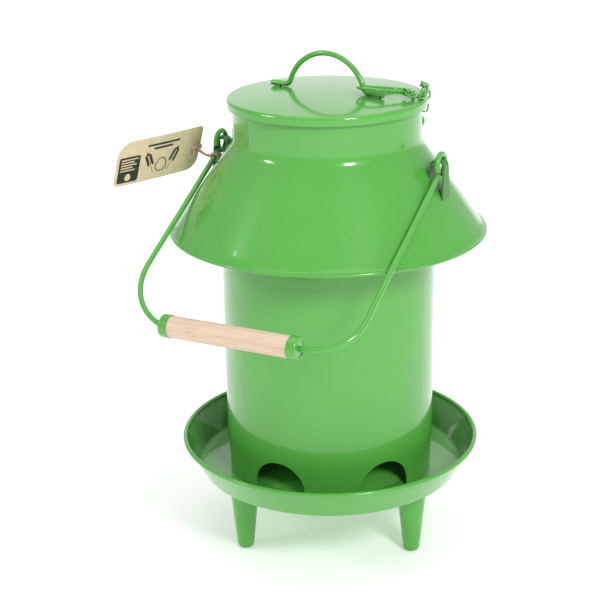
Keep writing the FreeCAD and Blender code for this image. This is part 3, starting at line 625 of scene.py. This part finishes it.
def make_tie(anchor):
    """Loop through the hole round the card's end, knot over the hole, two strands to the arm and two ends."""
    along, up, face = tag_frame()
    verts, faces = [], []
    loop_radius = (HOLE_INSET + 1.4) / 2
    middle = TAG_HOLE - along * loop_radius
    loop = []
    for k in range(48):
        turn = 2 * math.pi * k / 48
        spot = middle + (along * math.cos(turn) + face * math.sin(turn) * 0.62) * loop_radius
        loop.append(spot + up * 0.5 * math.sin(2 * turn))
    twisted(verts, faces, loop, 1.6, 8, True)
    knot = TAG_HOLE + along * 0.6 + face * 2.8
    trefoil = []
    for k in range(64):
        turn = 2 * math.pi * k / 64
        x = math.sin(turn) + 2 * math.sin(2 * turn)
        y = math.cos(turn) - 2 * math.cos(2 * turn)
        trefoil.append(knot + (along * x + up * y) * 1.2 + face * -math.sin(3 * turn) * 1.05)
    twisted(verts, faces, trefoil, 2.0, 13, True)
    for way in (1, -1):
        start = knot - along * 1.6 + up * way * 1.1
        sag = (start + anchor) / 2 - Vector((0, 0, 0.8)) + face * (1.2 + way * 0.7)
        strand = smooth_path([start, sag, anchor + up * way * 0.8 + face * 0.4], 12)
        twisted(verts, faces, strand, 1.45, 5)
    for reach, drop in ((5.5, 7.0), (2.5, 8.5)):
        bow = knot + face * 2.0 + along * reach * 0.4 - up * drop * 0.35
        stop = knot + face * 1.6 + along * reach - up * drop
        twisted(verts, faces, smooth_path([knot, bow, stop], 12), 1.4, 4)
    piece = add_mesh("twine_tie", verts, faces, TWINE, "tag")
    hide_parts("tag_twine")


# ---------------------------------------------------------------- welds

def weld(name, start, end):
    """A short weld on the lid: overlapping low ripples along a line, which taper off at its ends."""
    width, lumps, steps = 0.75, 4, 48

    def size(share):
        ripple = 0.62 + 0.38 * abs(math.sin(math.pi * lumps * share))
        return width * ripple * (1 - (2 * share - 1) ** 8) + 0.05

    start, end = Vector(start), Vector(end)
    verts, faces = [], []
    tube(verts, faces, [start.lerp(end, k / steps) for k in range(steps + 1)], size, 12)
    piece = add_mesh(name, verts, faces, PAINT, "lid")


def make_welds():
    """Welds along both sides of the two feet of the lid's handle."""
    low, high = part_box("lid_handle")
    foot = low[2] / MM
    for name, way in (("right", 1), ("left", -1)):
        outer = high[0] / MM if way > 0 else -low[0] / MM
        for side in (-1, 1):
            start = (way * (outer - 8), side * 1.6 - way * 4.3, foot)
            end = (way * (outer - 3), side * 1.6 - way * 4.8, foot - 0.1)
            weld("handle_weld_%s_%d" % (name, side), start, end)


# ---------------------------------------------------------------- the scene

def material_for(name):
    """The material of a CAD node."""
    if name == "grip_wood":
        return WOOD
    if name == "hang_tag":
        return CARD
    if "twine" in name:
        return TWINE
    if name.startswith("ear_"):
        return SHADED_EAR_PAINT
    if name == "feed_tray":
        return TRAY_PAINT_DEEP_SHADE
    return PAINT


def dress_nodes():
    """Give every CAD node its material."""
    for name in NODES:
        data = NODES[name].data
        data.materials.clear()
        data.materials.append(material_for(name))


add_camera()
add_floor()
add_studio()
PAINT = paint("green_paint")
# Painted shade: the ears get a darker green copy of the same paint, which stands in for the shade inside
# their loops.
SHADED_EAR_PAINT = paint("green_paint_ear", 0.02, 0.15, (0.060, 0.24, 0.040), (0.050, 0.21, 0.034), 0.5)
# Painted shade: the tray's copy of the paint darkens out to 50 mm from corners, so its inner wall and floor
# read deeper.
TRAY_PAINT_DEEP_SHADE = paint("green_paint_tray_deep_shade", 0.05)
WOOD = wood("pale_wood")
CARD = card("kraft_card")
INK = ink("tag_ink", (0.022, 0.026, 0.024))
TWINE = twine("twine", (0.70, 0.52, 0.42), (0.62, 0.42, 0.33))
dress_nodes()
make_hood()
make_tag()
make_twine()
make_welds()
make_crease()
